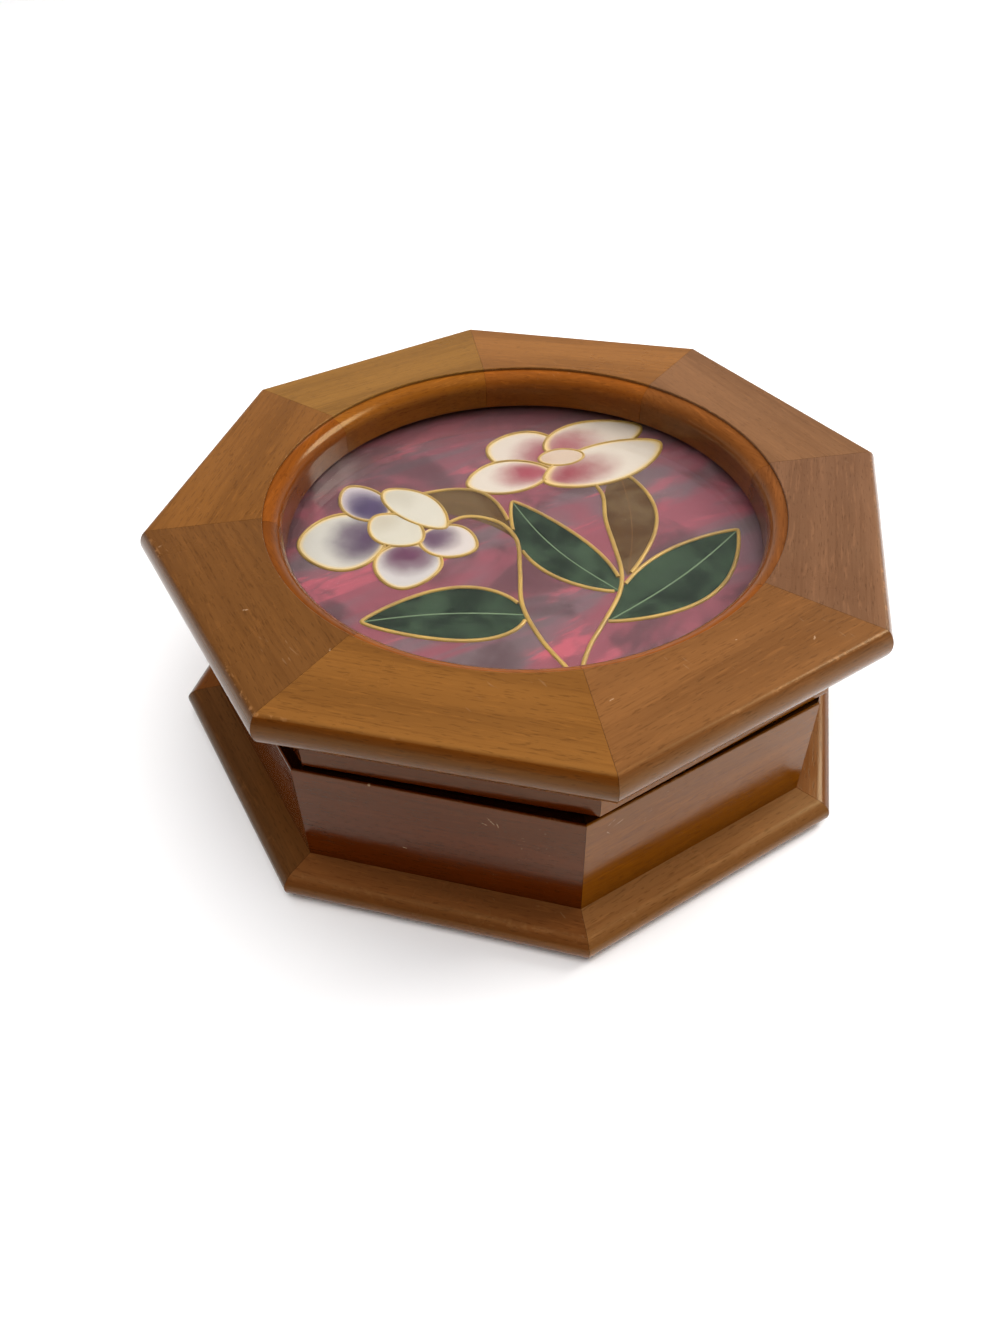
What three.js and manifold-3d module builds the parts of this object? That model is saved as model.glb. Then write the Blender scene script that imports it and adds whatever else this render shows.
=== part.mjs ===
// Octagonal wooden jewelry box with a lift-off lid.
// Eight mitred walls stand on eight mitred base mouldings, which hold the bottom board.
// The lid is a ring of eight mitred rails round a glass disc that covers a picture panel.
// Millimetres, +Z up, origin at the centre of the underside, one wall faces -Y.

import * as THREE from "three";
import { mergeVertices } from "three/addons/utils/BufferGeometryUtils.js";
import Module from "manifold-3d";

// Plan of the box
const sides = 8;
const boxAcrossFlats = 142.4; // over the outer faces of two opposite walls
const mitreGap = 0.2; // glue line between two neighbouring pieces
const seatGap = 0.3; // between two pieces that rest on each other

// Base moulding
const baseOverhang = 7.8; // how far it stands out past the walls
const baseHeight = 7;
const baseEdgeHeight = 6.3; // its top slopes down to this at the nose
const baseNoseBulge = 1.5;
const baseFootBevel = 0.6;

// Walls
const wallThickness = 8;
const wallHeight = 27.7; // from the base moulding up to the rim
const rimWidth = 2.5; // raised inner part of the rim, which locates the lid
const rimRise = 3;

// Bottom board, flush with the underside
const boardThickness = 3.2;
const boardRabbet = 5; // how far it is let into the base moulding past the walls' inner faces
const boardPlay = 0.2;

// Lid rails
const lidOverhang = 8.8; // nose past the lip, which is flush with the walls
const railWidth = 20.6; // flat top, from the nose to the round opening
const noseHeight = 7.5;
const noseBulge = 1.6;
const quirkDepth = 0.8; // small step where the bead of the opening begins
const beadRadius = 4;
const rimHeadroom = 3; // inside the lid, above the raised rim
const rimPlay = 0.4; // left round the raised rim where the lid sits now

// Place of the loose lid on the box
const lidShiftX = 0.8;
const lidShiftY = 1.7;
const lidTurn = 1.05; // degrees

// Glass and picture
const glassDepth = 9.6; // from the top of the rails down to the glass
const glassBite = 6.6; // how far the glass reaches under the bead
const glassThickness = 3;
const pictureGap = 0.6; // room for the raised outlines under the glass
const pictureThickness = 2.6;

// Facets of the round stretches
const noseSteps = 8;
const beadSteps = 6;
const ringSteps = 96;

const halfSide = Math.PI / sides;
const wallApothem = boxAcrossFlats / 2;
const wallInner = wallApothem - wallThickness;
const rimOuter = wallInner + rimWidth;
const rimCornerTurn = Math.cos(halfSide - Math.abs(THREE.MathUtils.degToRad(lidTurn))) / Math.cos(halfSide);
const lipInner = rimOuter * rimCornerTurn + Math.hypot(lidShiftX, lidShiftY) + rimPlay;
const lidApothem = wallApothem + lidOverhang;
const openingRadius = lidApothem - railWidth;
const beadInner = openingRadius - beadRadius;
const glassRadius = beadInner + glassBite;
const baseApothem = wallApothem + baseOverhang;

const rimSeat = baseHeight + wallHeight;
const rimTop = rimSeat + rimRise;
const lidBottom = rimSeat + seatGap;
const webBottom = rimTop + rimHeadroom;
const pictureTop = webBottom + pictureThickness;
const glassBottom = pictureTop + pictureGap;
const glassTop = glassBottom + glassThickness;
const glassShoulder = glassTop + seatGap;
const lidTop = glassShoulder + glassDepth;
const noseBottom = lidTop - noseHeight;

const wasm = await Module();
wasm.setup();

// A three.js geometry as a manifold solid, its shared corners merged.
function solid(geometry) {
  const bare = geometry.index ? geometry.toNonIndexed() : geometry.clone();
  bare.deleteAttribute("normal");
  bare.deleteAttribute("uv");
  const merged = mergeVertices(bare, 1e-4);
  return new wasm.Manifold(
    new wasm.Mesh({
      numProp: 3,
      vertProperties: merged.attributes.position.array,
      triVerts: new Uint32Array(merged.index.array),
    }),
  );
}

function geometryOf(made) {
  const mesh = made.getMesh();
  const geometry = new THREE.BufferGeometry();
  geometry.setAttribute("position", new THREE.BufferAttribute(mesh.vertProperties, 3));
  geometry.setIndex(new THREE.BufferAttribute(mesh.triVerts, 1));
  geometry.computeVertexNormals();
  return geometry;
}

function shapeOf(points) {
  return new THREE.Shape(points.map(([x, y]) => new THREE.Vector2(x, y)));
}

// Points of a shallow round nose from the lower to the upper break, bulging outwards at mid height.
function noseArc(breakAt, bottom, top, bulge) {
  const half = (top - bottom) / 2;
  const radius = (half * half + bulge * bulge) / (2 * bulge);
  const reach = Math.asin(half / radius);
  return Array.from({ length: noseSteps + 1 }, (_, i) => {
    const angle = -reach + (2 * reach * i) / noseSteps;
    return [breakAt + bulge - radius * (1 - Math.cos(angle)), bottom + half + radius * Math.sin(angle)];
  });
}

// A moulding whose section is given as (distance from the box's centre, height), run along one side of the
// octagon that faces +X, and cut at both mitres.
function mouldingRun(section) {
  const reach = Math.max(...section.map(([out]) => out));
  const run = 2 * reach * Math.tan(halfSide) + 2 * mitreGap;
  const stick = new THREE.ExtrudeGeometry(shapeOf(section), { depth: run, bevelEnabled: false });
  // The section's (x, y) become (out, up), and the run goes along Y.
  stick.translate(0, 0, -run / 2);
  stick.rotateX(Math.PI / 2);
  const apex = mitreGap / 2 / Math.sin(halfSide);
  const far = 2 * reach;
  const wedge = new THREE.ExtrudeGeometry(
    shapeOf([
      [apex, 0],
      [apex + far, -far * Math.tan(halfSide)],
      [apex + far, far * Math.tan(halfSide)],
    ]),
    { depth: 4 * lidTop, bevelEnabled: false },
  );
  wedge.translate(0, 0, -lidTop);
  return solid(stick).intersect(solid(wedge));
}

function baseMoulding() {
  const breakAt = baseApothem - baseNoseBulge;
  const rabbetTop = boardThickness + seatGap;
  return mouldingRun([
    [wallInner + boardRabbet, 0],
    [breakAt - baseFootBevel, 0],
    ...noseArc(breakAt, baseFootBevel, baseEdgeHeight, baseNoseBulge),
    [wallApothem, baseHeight],
    [wallInner, baseHeight],
    [wallInner, rabbetTop],
    [wallInner + boardRabbet, rabbetTop],
  ]);
}

function wall() {
  return mouldingRun([
    [wallInner, baseHeight],
    [wallApothem, baseHeight],
    [wallApothem, rimSeat],
    [rimOuter, rimSeat],
    [rimOuter, rimTop],
    [wallInner, rimTop],
  ]);
}

// What the round opening takes out of the rails: the picture's window with its bead, and below it the
// wider seat of the glass and the panel.
function openingTool() {
  const beadTop = lidTop - quirkDepth;
  const bead = Array.from({ length: beadSteps + 1 }, (_, i) => {
    const angle = (Math.PI / 2) * (1 - i / beadSteps);
    return [openingRadius - beadRadius * Math.sin(angle), beadTop - beadRadius * (1 - Math.cos(angle))];
  });
  const profile = [
    [0, webBottom - 1],
    [glassRadius + seatGap, webBottom - 1],
    [glassRadius + seatGap, glassShoulder],
    [beadInner, glassShoulder],
    ...bead,
    [openingRadius, lidTop + 1],
    [0, lidTop + 1],
  ];
  const lathe = new THREE.LatheGeometry(
    profile.map(([r, z]) => new THREE.Vector2(r, z)),
    ringSteps,
  );
  lathe.rotateX(Math.PI / 2);
  return solid(lathe);
}

function lidRail() {
  const breakAt = lidApothem - noseBulge;
  const whole = mouldingRun([
    [beadInner - glassBite, webBottom],
    [lipInner, webBottom],
    [lipInner, lidBottom],
    [wallApothem, lidBottom],
    [wallApothem, noseBottom],
    ...noseArc(breakAt, noseBottom, lidTop, noseBulge),
    [beadInner - glassBite, lidTop],
  ]);
  return whole.subtract(openingTool());
}

function disc(radius, thickness) {
  const made = new THREE.CylinderGeometry(radius, radius, thickness, ringSteps);
  made.rotateX(Math.PI / 2);
  return made;
}

function bottomBoard() {
  const apothem = wallInner + boardRabbet - boardPlay;
  const corner = apothem / Math.cos(halfSide);
  const outline = Array.from({ length: sides }, (_, i) => {
    const angle = halfSide + 2 * halfSide * i;
    return [corner * Math.cos(angle), corner * Math.sin(angle)];
  });
  return new THREE.ExtrudeGeometry(shapeOf(outline), { depth: boardThickness, bevelEnabled: false });
}

const plainWood = new THREE.MeshStandardMaterial({ color: 0x7a4f2a, roughness: 0.55 });
const glass = new THREE.MeshStandardMaterial({ color: 0xf2f6f4, roughness: 0.04, transparent: true, opacity: 0.3 });
const picturePaint = new THREE.MeshStandardMaterial({ color: 0x8f5462, roughness: 0.35 });

// Neighbouring pieces are cut from different sticks, so their stain varies a little.
const stains = [0x8b5a37, 0x93613a, 0x8c5a33, 0x7d4e2a, 0x8a5628, 0x93602e, 0x955f33, 0x84593a];
const lacquered = stains.map((color) => new THREE.MeshStandardMaterial({ color, roughness: 0.35 }));

function place(group, name, geometry, material, height = 0) {
  const mesh = new THREE.Mesh(geometry, material);
  mesh.name = name;
  mesh.position.z = height;
  group.add(mesh);
  return mesh;
}

// Eight copies of one mitred piece, turned round the box. Number 1 faces -Y.
function placeRing(group, name, geometry) {
  for (let i = 0; i < sides; i += 1) {
    const piece = place(group, `${name}_${i + 1}`, geometry, lacquered[i % lacquered.length]);
    piece.rotation.z = 2 * halfSide * i - Math.PI / 2;
  }
}

const box = new THREE.Group();
placeRing(box, "base_moulding", geometryOf(baseMoulding()));
placeRing(box, "wall", geometryOf(wall()));
place(box, "bottom_board", bottomBoard(), plainWood);

const lid = new THREE.Group();
lid.position.set(lidShiftX, lidShiftY, 0);
lid.rotation.z = THREE.MathUtils.degToRad(lidTurn);
placeRing(lid, "lid_rail", geometryOf(lidRail()));
place(lid, "picture_panel", disc(glassRadius, pictureThickness), picturePaint, webBottom + pictureThickness / 2);
place(lid, "lid_glass", disc(glassRadius, glassThickness), glass, glassBottom + glassThickness / 2);

const jewelryBox = new THREE.Group();
jewelryBox.add(box, lid);

export default jewelryBox;
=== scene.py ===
from math import cos, pi, radians, sin, tan

import bpy
import numpy as np
from mathutils import Matrix, Vector


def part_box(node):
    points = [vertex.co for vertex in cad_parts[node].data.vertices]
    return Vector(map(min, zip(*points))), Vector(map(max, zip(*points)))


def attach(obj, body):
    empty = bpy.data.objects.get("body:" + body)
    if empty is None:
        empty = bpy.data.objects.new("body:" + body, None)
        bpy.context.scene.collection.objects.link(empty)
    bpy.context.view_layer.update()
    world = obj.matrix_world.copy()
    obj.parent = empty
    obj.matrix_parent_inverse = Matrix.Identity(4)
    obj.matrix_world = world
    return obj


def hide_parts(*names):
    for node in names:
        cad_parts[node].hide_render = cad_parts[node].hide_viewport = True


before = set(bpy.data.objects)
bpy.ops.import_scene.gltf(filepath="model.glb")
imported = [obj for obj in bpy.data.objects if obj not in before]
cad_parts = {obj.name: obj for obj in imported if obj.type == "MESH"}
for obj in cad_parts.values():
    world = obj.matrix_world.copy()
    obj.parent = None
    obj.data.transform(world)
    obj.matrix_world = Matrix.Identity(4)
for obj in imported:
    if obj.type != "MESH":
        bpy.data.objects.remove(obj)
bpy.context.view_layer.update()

mm = 0.001
halfSide = pi / 8  # half of one side's share of the octagon

print("stage 1: sizes from the frame")

baseLow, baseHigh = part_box("base_moulding_1")
wallLow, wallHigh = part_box("wall_1")
railLow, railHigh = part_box("lid_rail_1")
glassLow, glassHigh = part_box("lid_glass")
panelLow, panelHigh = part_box("picture_panel")
boardLow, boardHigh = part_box("bottom_board")

plan = {
    "mitreGap": 0.06 * mm,
    "lidTurn": radians(1.05),
    "lidCentre": ((glassLow[0] + glassHigh[0]) / 2, (glassLow[1] + glassHigh[1]) / 2),
    "wallFace": -wallLow[1],
    "baseNose": -baseLow[1],
    "baseTop": baseHigh[2],
    "rimTop": wallHigh[2],
    "lidTop": railHigh[2],
    "lidBottom": railLow[2],
}


# Meshes

def addObject(name, data):
    thing = bpy.data.objects.new(name, data)
    bpy.context.scene.collection.objects.link(thing)
    return thing


def newPiece(name, points, faces, material, smoothBelow=34):
    mesh = bpy.data.meshes.new(name)
    mesh.from_pydata(np.asarray(points).reshape(-1, 3).tolist(), [], faces)
    mesh.shade_smooth()
    mesh.set_sharp_from_angle(angle=radians(smoothBelow))
    mesh.materials.append(material)
    piece = addObject(name, mesh)
    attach(piece, "root")
    return piece


def storePoint(piece, name, kind, values):
    attribute = piece.data.attributes.new(name, kind, "POINT")
    key = {"FLOAT": "value", "FLOAT_VECTOR": "vector", "FLOAT_COLOR": "color"}[kind]
    attribute.data.foreach_set(key, np.ascontiguousarray(values, dtype=np.float32).ravel())


# Grid faces: each square joins (row, column) with its neighbours, and wraps where a direction is closed.
def gridFaces(rows, columns, wrapRows=False, wrapColumns=False):
    r = np.arange(rows if wrapRows else rows - 1)
    c = np.arange(columns if wrapColumns else columns - 1)
    a, b = np.meshgrid(r, c, indexing="ij")
    a2, b2 = (a + 1) % rows, (b + 1) % columns
    quads = np.stack([a * columns + b, a2 * columns + b, a2 * columns + b2, a * columns + b2], -1)
    return quads.reshape(-1, 4)


# A stack of closed rings with a pole at each end. Rings run anticlockwise and climb from the first pole.
def ringShell(rings, firstPole, lastPole):
    count, around = rings.shape[:2]
    points = np.concatenate([rings.reshape(-1, 3), [firstPole, lastPole]])
    sides = gridFaces(count, around, wrapColumns=True)[:, ::-1]
    i = np.arange(around)
    j = (i + 1) % around
    first, last = count * around, count * around + 1
    top = (count - 1) * around
    low = np.stack([np.full(around, first), j, i], -1)
    high = np.stack([np.full(around, last), top + i, top + j], -1)
    return points, sides.tolist() + low.tolist() + high.tolist()


# A section corner is (out, up, ease, bend, wear). Each eased corner becomes a parabola that leaves both sides
# at the ease from the corner: (1-s)^2 a + 2s(1-s) corner + s^2 b. A point just beyond each end keeps the
# neighbouring flats flat. bend is 0 on a straight stretch and 1 on one that runs round the lid's centre.
def easedSection(corners, steps=5, hold=0.25 * mm):
    rows = []
    count = len(corners)
    for i, (out, up, ease, bend, wear) in enumerate(corners):
        here = np.array([out, up])
        if ease <= 0:
            rows.append([out, up, bend, wear])
            continue
        before = np.array(corners[i - 1][:2]) - here
        after = np.array(corners[(i + 1) % count][:2]) - here
        before /= np.linalg.norm(before)
        after /= np.linalg.norm(after)
        a, b = here + before * ease, here + after * ease
        rows.append([*(a + before * hold), bend, 0])
        for s in np.linspace(0, 1, steps + 1):
            point = (1 - s) ** 2 * a + 2 * s * (1 - s) * here + s ** 2 * b
            rows.append([*point, bend, wear * 4 * s * (1 - s)])
        rows.append([*(b + after * hold), bend, 0])
    return np.array(rows)

# Points of a shallow nose: an arc through both breaks that bulges out by the given amount at mid height.
# Points nearer to an eased break than the clearance times its ease make room for it.
def noseCorners(breakAt, top, bottom, bulge, topEase, bottomEase, steps=20, clearance=1.4):
    half = (top - bottom) / 2
    radius = (half ** 2 + bulge ** 2) / (2 * bulge)
    reach = np.arcsin(half / radius)
    angles = np.linspace(reach, -reach, steps + 1)[1:-1]
    outs = breakAt + bulge - radius * (1 - np.cos(angles))
    ups = bottom + half + radius * np.sin(angles)
    belowTop = np.hypot(outs - breakAt, top - ups)
    overBottom = np.hypot(outs - breakAt, ups - bottom)
    clear = (belowTop > clearance * topEase) & (overBottom > clearance * bottomEase)
    return [(out, up, 0, 0, 0) for out, up in zip(outs[clear], ups[clear])]


# Turns flat points about the origin by (x cos a - y sin a, x sin a + y cos a) and moves them to the centre.
def turnFlat(flat, angle, centre):
    x, y = flat[..., 0], flat[..., 1]
    c, s = cos(angle), sin(angle)
    return np.stack([x * c - y * s + centre[0], x * s + y * c + centre[1]], -1)


# One mitred stick of the octagon. Straight points are (out, v (out tan h - g)), bent ones lie on the circle
# (out cos(v a), out sin(v a)), with v from -1 to 1 along the stick, h half of a side's angle, g half of the
# mitre gap measured along the stick and a the angle that reaches the same mitre. Both are mixed by bend.
# The tone multiplies the stain and paints light and shade into it; it and the gloss are functions of out, up
# and bend.
def mitredStick(name, section, index, look, tone, gloss, turn=0, centre=(0, 0)):
    v = np.linspace(-1, 1, look["stations"])[None, :]
    out, up, bend, wear = (column[:, None] for column in section.T)
    gap = plan["mitreGap"] / 2
    swing = v * (halfSide - gap / out)
    straight = np.stack(np.broadcast_arrays(out, v * (out * tan(halfSide) - gap / cos(halfSide))), -1)
    curved = np.stack([out * np.cos(swing), out * np.sin(swing)], -1)
    flat = straight * (1 - bend[..., None]) + curved * bend[..., None]
    rows, stations = flat.shape[:2]
    heights = np.broadcast_to(up, (rows, stations))
    spread = turnFlat(flat, index * 2 * halfSide - pi / 2 + turn, centre)
    points = np.concatenate([spread, heights[..., None]], -1)
    first = (np.arange(rows) * stations).tolist()
    last = [corner + stations - 1 for corner in first]
    faces = gridFaces(rows, stations, wrapRows=True).tolist() + [first[::-1], last]
    piece = newPiece(name, points, faces, lacqueredWood)
    offset = np.random.default_rng(look["seed"] + index).uniform(0, 4, 3)
    tilt = look["runout"][index]
    along = flat[..., 1] + tilt * flat[..., 0]
    across = flat[..., 0] - tilt * flat[..., 1]
    storePoint(piece, "stick", "FLOAT_VECTOR", np.stack([along, across, heights], -1) + offset)
    storePoint(piece, "edge", "FLOAT", np.broadcast_to(wear, (rows, stations)))
    storePoint(piece, "gloss", "FLOAT", np.broadcast_to(gloss(out, up, bend), (rows, stations)))
    stain = np.ones((rows, stations, 4))
    stain[..., :3] = np.array(look["stains"][index]) * tone(out, up, bend)
    storePoint(piece, "stain", "FLOAT_COLOR", stain)
    return piece


def srgb(red, green, blue):
    c = np.array([red, green, blue]) / 255
    return tuple(np.where(c <= 0.04045, c / 12.92, ((c + 0.055) / 1.055) ** 2.4).tolist())


# Material helpers

def blankMaterial(name):
    material = bpy.data.materials.new(name)
    material.use_nodes = True
    material.node_tree.nodes.clear()
    return material, material.node_tree


def addNode(tree, kind, inputs=None, **settings):
    node = tree.nodes.new(kind)
    for key, value in settings.items():
        setattr(node, key, value)
    for key, value in (inputs or {}).items():
        if isinstance(value, bpy.types.NodeSocket):
            tree.links.new(value, node.inputs[key])
        else:
            node.inputs[key].default_value = value
    return node


def calc(tree, operation, a, b=0.0, clamp=False):
    return addNode(tree, "ShaderNodeMath", {0: a, 1: b}, operation=operation, use_clamp=clamp).outputs[0]


def smoothMask(tree, value, low, high, fromValue=0.0, toValue=1.0):
    return addNode(tree, "ShaderNodeMapRange", {"Value": value, "From Min": low, "From Max": high,
                                               "To Min": fromValue, "To Max": toValue},
                   interpolation_type="SMOOTHSTEP").outputs["Result"]


def blend(tree, factor, first, second, mode="MIX"):
    node = addNode(tree, "ShaderNodeMix", data_type="RGBA", blend_type=mode, clamp_factor=True)
    for socket, value in ((node.inputs[0], factor), (node.inputs[6], first), (node.inputs[7], second)):
        if isinstance(value, bpy.types.NodeSocket):
            tree.links.new(value, socket)
        elif isinstance(value, tuple):
            socket.default_value = (*value[:3], 1)
        else:
            socket.default_value = value
    return node.outputs[2]


def stretchedNoise(tree, vector, scale, detail=3.0, roughness=0.55, distortion=0.0):
    mapping = addNode(tree, "ShaderNodeMapping", {"Vector": vector, "Scale": scale})
    return addNode(tree, "ShaderNodeTexNoise", {"Vector": mapping.outputs[0], "Scale": 1.0, "Detail": detail,
                                                "Roughness": roughness, "Distortion": distortion}).outputs[0]


def stored(tree, name, output):
    return addNode(tree, "ShaderNodeAttribute", attribute_name=name).outputs[output]


def objectPlace(tree):
    return addNode(tree, "ShaderNodeTexCoord").outputs["Object"]


def turnedPlace(tree, vector, turn):
    return addNode(tree, "ShaderNodeMapping", {"Vector": vector, "Rotation": turn}).outputs[0]


def distanceAlong(tree, vector, direction):
    return addNode(tree, "ShaderNodeVectorMath", {0: vector, 1: direction},
                   operation="DOT_PRODUCT").outputs["Value"]


def bumpFrom(tree, height, strength, distance):
    return addNode(tree, "ShaderNodeBump", {"Height": height, "Strength": strength,
                                            "Distance": distance}).outputs[0]


def finish(tree, inputs):
    shader = addNode(tree, "ShaderNodeBsdfPrincipled", inputs)
    addNode(tree, "ShaderNodeOutputMaterial", {"Surface": shader.outputs[0]})


def startGroup(name, inputs, outputs):
    tree = bpy.data.node_groups.new(name, "ShaderNodeTree")
    for way, sockets in (("INPUT", inputs), ("OUTPUT", outputs)):
        for title, kind in sockets.items():
            tree.interface.new_socket(title, in_out=way, socket_type=f"NodeSocket{kind}")
    return tree, tree.nodes.new("NodeGroupInput").outputs


# Noise scales are per metre, the first along the stick. Tones multiply the stain.
grain = {
    "bandScale": (9, 120, 120),
    "lineScale": (26, 1200, 1200),
    "fleckScale": (150, 1500, 1500),
    "poreScale": (420, 3400, 3400),
    "darkTone": (0.60, 0.52, 0.45),
    "lightTone": (1.28, 1.25, 1.2),
    "poreTone": (0.32, 0.26, 0.2),
    "lineShare": 0.36,
    "fleckShare": 0.5,
    "lineHeight": 0.5,
    "poreDepth": 0.6,
}


# Wood grain: broad bands, fine growth lines, pale flecks and short dark pores, all drawn out along the stick.
def makeGrainGroup():
    tree, source = startGroup(
        "woodGrain", {"Stick": "Vector", "Stain": "Color", "Figure": "Float", "Pores": "Float"},
        {"Color": "Color", "Height": "Float"})
    stick, stain = source["Stick"], source["Stain"]
    bands = stretchedNoise(tree, stick, grain["bandScale"], 2.0, 0.5, 0.4)
    lines = stretchedNoise(tree, stick, grain["lineScale"], 3.0, 0.6, 0.6)
    flecks = stretchedNoise(tree, stick, grain["fleckScale"], 2.0, 0.5)
    pores = stretchedNoise(tree, stick, grain["poreScale"], 1.0, 0.4)
    dark = blend(tree, 1.0, stain, grain["darkTone"], "MULTIPLY")
    light = blend(tree, 1.0, stain, grain["lightTone"], "MULTIPLY")
    poreColour = blend(tree, 1.0, stain, grain["poreTone"], "MULTIPLY")
    figured = blend(tree, smoothMask(tree, bands, 0.32, 0.68), dark, light)
    colour = blend(tree, source["Figure"], stain, figured)
    colour = blend(tree, smoothMask(tree, lines, 0.48, 0.68, 0.0, grain["lineShare"]), colour, dark)
    colour = blend(tree, smoothMask(tree, flecks, 0.56, 0.70, 0.0, grain["fleckShare"]), colour, light)
    poreMask = calc(tree, "MULTIPLY", smoothMask(tree, pores, 0.60, 0.70), source["Pores"])
    colour = blend(tree, poreMask, colour, poreColour)
    height = calc(tree, "SUBTRACT", calc(tree, "MULTIPLY", lines, grain["lineHeight"]),
                  calc(tree, "MULTIPLY", poreMask, grain["poreDepth"]))
    addNode(tree, "NodeGroupOutput", {"Color": colour, "Height": height})
    return tree


handling = {
    "patchScale": (700, 700, 700),
    "areaScale": (75, 75, 75),
    "smearScale": (45, 45, 45),
    "scratchScale": (170, 1900, 1900),
    "scratchTurn": (0.2, 0.1, 0.7),
}


# Handling marks: rubbed arrises where the wood's own edge mask is high, and sparse light scratches. Both keep
# to a few areas. Smear varies the lacquer's roughness.
def makeHandlingGroup():
    tree, source = startGroup(
        "handlingMarks", {"Point": "Vector", "Edge": "Float", "Rub": "Float", "Scratches": "Float"},
        {"Rubbed": "Float", "Scratched": "Float", "Smear": "Float"})
    point = source["Point"]
    patches = stretchedNoise(tree, point, handling["patchScale"], 3.0, 0.65)
    areas = stretchedNoise(tree, point, handling["areaScale"], 1.0, 0.5)
    turned = turnedPlace(tree, point, handling["scratchTurn"])
    streaks = stretchedNoise(tree, turned, handling["scratchScale"], 0.0, 0.5)
    smear = stretchedNoise(tree, point, handling["smearScale"], 4.0, 0.6)
    rubbed = calc(tree, "MULTIPLY", source["Edge"], smoothMask(tree, patches, 0.50, 0.64))
    rubbed = calc(tree, "MULTIPLY", rubbed, smoothMask(tree, areas, 0.44, 0.62))
    rubbed = calc(tree, "MULTIPLY", rubbed, source["Rub"], True)
    scratched = calc(tree, "MULTIPLY", smoothMask(tree, streaks, 0.76, 0.80), source["Scratches"])
    scratched = calc(tree, "MULTIPLY", scratched, smoothMask(tree, areas, 0.62, 0.70), True)
    addNode(tree, "NodeGroupOutput", {"Rubbed": rubbed, "Scratched": scratched, "Smear": smear})
    return tree


# Single nicks and scratches, each an ellipsoid at a place (mm), turned, with its length and width (mm).
marks = [
    ((-71.0, -36.6, 56.6), (0, 0, 1.2), 2.2, 0.6),
    ((-43.9, -51.6, 56.8), (0, 0, 0.4), 1.6, 0.5),
    ((-23.1, -58.6, 56.8), (0, 0, 1.9), 1.0, 0.4),
    ((31.0, -59.4, 56.8), (0, 0, 0.9), 1.4, 0.35),
    ((66.0, -34.6, 56.8), (0, 0, 1.4), 1.5, 0.5),
    ((51.3, -38.6, 56.8), (0, 0, 0.4), 1.4, 0.35),
    ((71.4, -39.4, 52.0), (0, 0.4, 0.785), 1.6, 0.9),
    ((-13.2, -71.2, 34.5), (0, 0, 0), 0.8, 1.0),
    ((11.1, -71.2, 30.4), (0, 0.9, 0), 3.0, 0.35),
    ((12.4, -71.2, 29.6), (0, 1.3, 0), 2.4, 0.3),
    ((9.8, -71.2, 29.2), (0, 0.4, 0), 1.6, 0.3),
    ((-7.4, -71.2, 16.0), (0, 0.2, 0), 1.2, 0.35),
    ((33.7, -67.0, 31.6), (0, -0.5, 0.785), 2.6, 0.35),
    ((35.0, -65.7, 30.4), (0, -0.3, 0.785), 3.4, 0.35),
    ((33.2, -67.5, 29.0), (0, 0.9, 0.785), 1.8, 0.3),
    ((-3.7, -78.6, 2.4), (0, 0.3, 0), 1.0, 1.3),
]


markEdgeScale = (2400, 2400, 2400)  # of the noise that breaks up each mark


def makeMarksGroup():
    tree, source = startGroup("nicksAndScratches", {"Point": "Vector"}, {"Mark": "Float"})
    total = None
    for centre, turn, length, width in marks:
        local = addNode(tree, "ShaderNodeMapping", {
            "Vector": source["Point"], "Location": tuple(c * mm for c in centre), "Rotation": turn,
            "Scale": (length / 2 * mm, width / 2 * mm, width / 2 * mm)}, vector_type="TEXTURE").outputs[0]
        reach = addNode(tree, "ShaderNodeVectorMath", {0: local}, operation="LENGTH").outputs["Value"]
        mask = smoothMask(tree, reach, 1.0, 0.5)
        total = mask if total is None else calc(tree, "MAXIMUM", total, mask)
    broken = smoothMask(tree, stretchedNoise(tree, source["Point"], markEdgeScale, 1.0, 0.5), 0.36, 0.52)
    addNode(tree, "NodeGroupOutput", {"Mark": calc(tree, "MULTIPLY", total, broken)})
    return tree


grainGroup = makeGrainGroup()
handlingGroup = makeHandlingGroup()
marksGroup = makeMarksGroup()


def makeLacqueredWood(name, look):
    material, tree = blankMaterial(name)
    place = objectPlace(tree)
    grained = addNode(tree, "ShaderNodeGroup", {
        "Stick": stored(tree, "stick", "Vector"), "Stain": stored(tree, "stain", "Color"),
        "Figure": look["figure"], "Pores": look["pores"]}, node_tree=grainGroup).outputs
    handled = addNode(tree, "ShaderNodeGroup", {
        "Point": place, "Edge": stored(tree, "edge", "Fac"), "Rub": look["rub"],
        "Scratches": look["scratches"]}, node_tree=handlingGroup).outputs
    nicks = addNode(tree, "ShaderNodeGroup", {"Point": place}, node_tree=marksGroup).outputs["Mark"]
    scratched = calc(tree, "MAXIMUM", handled["Scratched"], calc(tree, "MULTIPLY", nicks, look["nicks"]))
    colour = blend(tree, handled["Rubbed"], grained["Color"], look["rubbedTo"])
    colour = blend(tree, scratched, colour, look["scratchedTo"])
    rough = smoothMask(tree, handled["Smear"], 0.3, 0.7, *look["roughness"])
    polish = calc(tree, "MULTIPLY", stored(tree, "gloss", "Fac"), look["glossGain"])
    rough = calc(tree, "SUBTRACT", rough, polish)
    dulled = calc(tree, "MULTIPLY", calc(tree, "MAXIMUM", handled["Rubbed"], scratched), look["dulling"])
    rough = calc(tree, "ADD", rough, dulled)
    finish(tree, {
        "Base Color": colour, "Roughness": rough,
        "Normal": bumpFrom(tree, grained["Height"], look["bump"], look["bumpDistance"]),
        "Specular IOR Level": look["specular"], "Specular Tint": (*look["specularTint"], 1),
        "Coat Weight": look["coat"], "Coat Roughness": look["coatRoughness"], "Coat IOR": 1.5})
    return material


print("stage 2: wood")

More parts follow.
